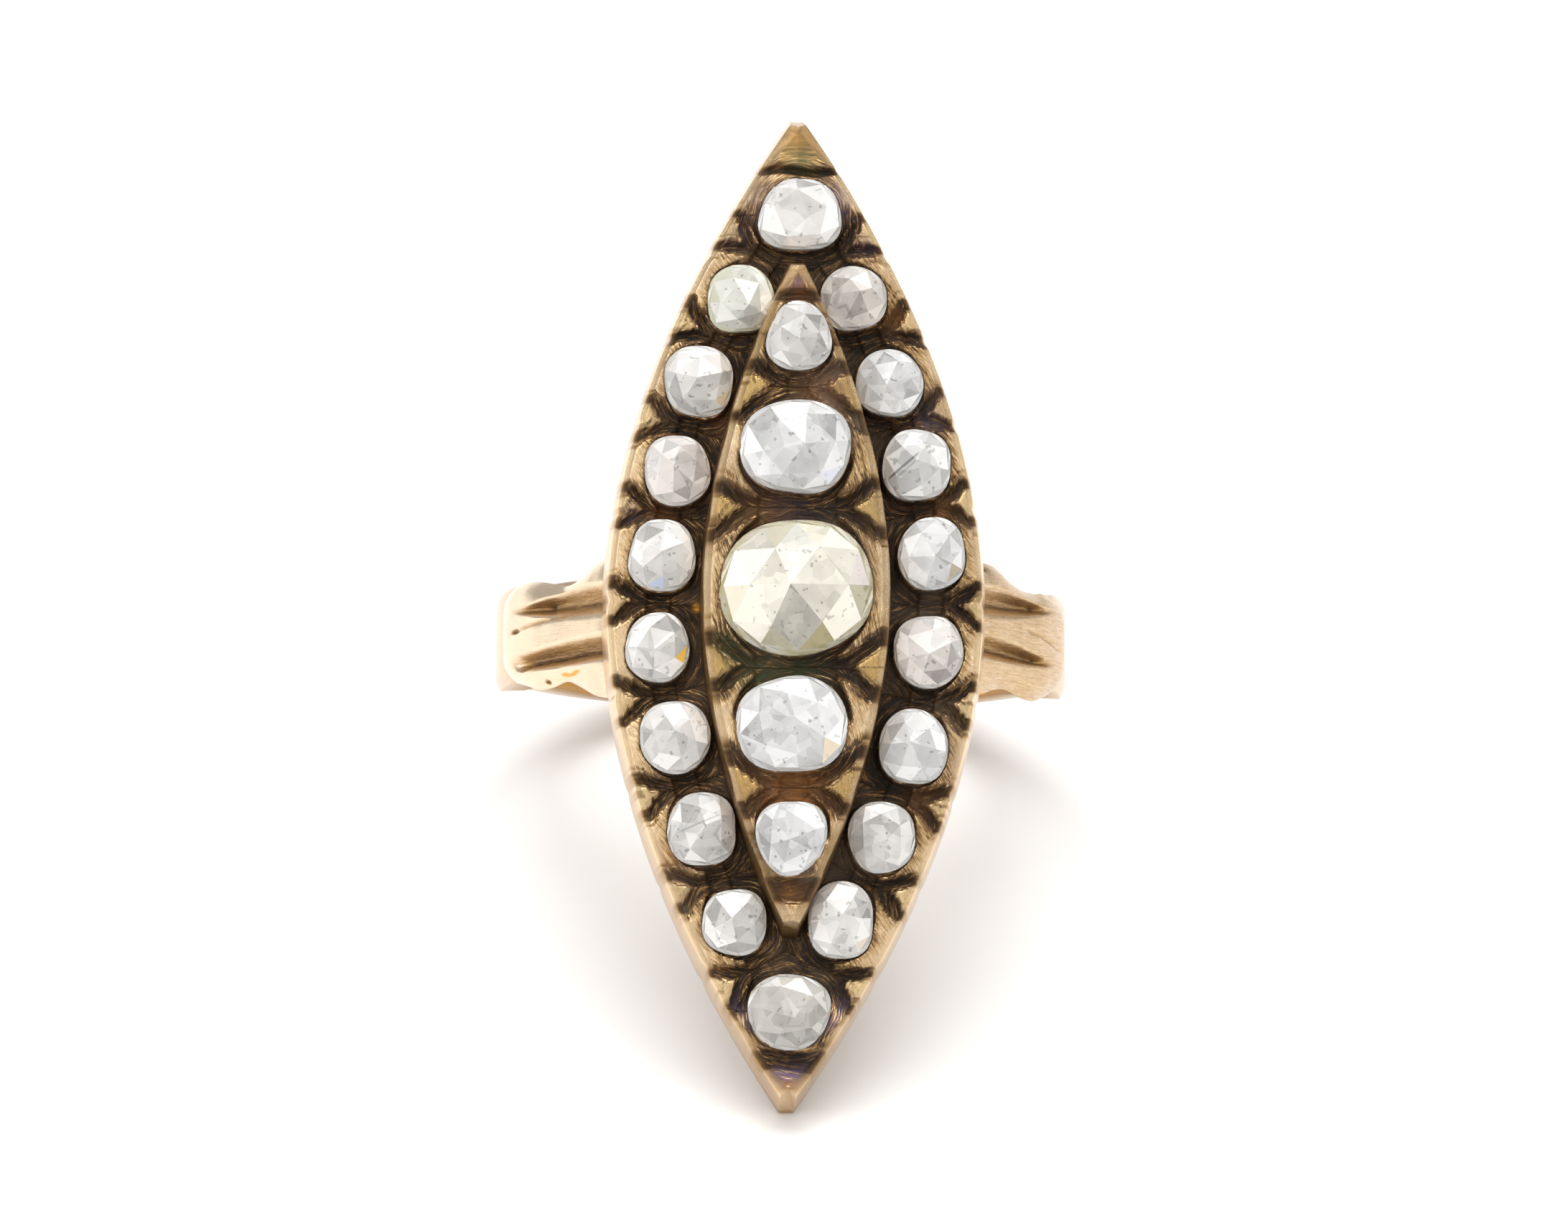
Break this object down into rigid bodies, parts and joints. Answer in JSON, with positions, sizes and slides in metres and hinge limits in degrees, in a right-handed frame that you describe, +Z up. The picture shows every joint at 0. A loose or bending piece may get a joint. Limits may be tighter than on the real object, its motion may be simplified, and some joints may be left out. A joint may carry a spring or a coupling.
{
  "type": "navette ring",
  "caption": "Pointed oval tiered ring head set with rose-cut stones, on a narrow finger hoop with fluted shoulders.",
  "frame": {"origin": "on the surface that the ring lies on, under the middle of its box", "axes": "+Z up, -Y the way the stones look, +X across the hoop to the right as seen from the stones"},
  "size_m": [0.0198, 0.0276, 0.027],
  "materials": {
    "rose_gold": "worn rose gold, polished on the edges and dark in the cuts",
    "stone": "rose cut, clear to greyish white, closed back",
    "warm_stone": "rose cut, faintly yellow, closed back"
  },
  "bodies": {
    "root": {"ring_body": "rose_gold", "stone_top": "stone", "stone_left_1": "stone", "stone_left_2": "stone", "stone_left_3": "stone", "stone_left_4": "stone", "stone_left_5": "stone", "stone_left_6": "stone", "stone_left_7": "stone", "stone_left_8": "stone", "stone_bottom": "stone", "stone_right_8": "stone", "stone_right_7": "stone", "stone_right_6": "stone", "stone_right_5": "stone", "stone_right_4": "stone", "stone_right_3": "stone", "stone_right_2": "stone", "stone_right_1": "stone", "stone_centre_1": "stone", "stone_centre_2": "stone", "stone_centre_3": "warm_stone", "stone_centre_4": "stone", "stone_centre_5": "stone"}
  },
  "joints": []
}
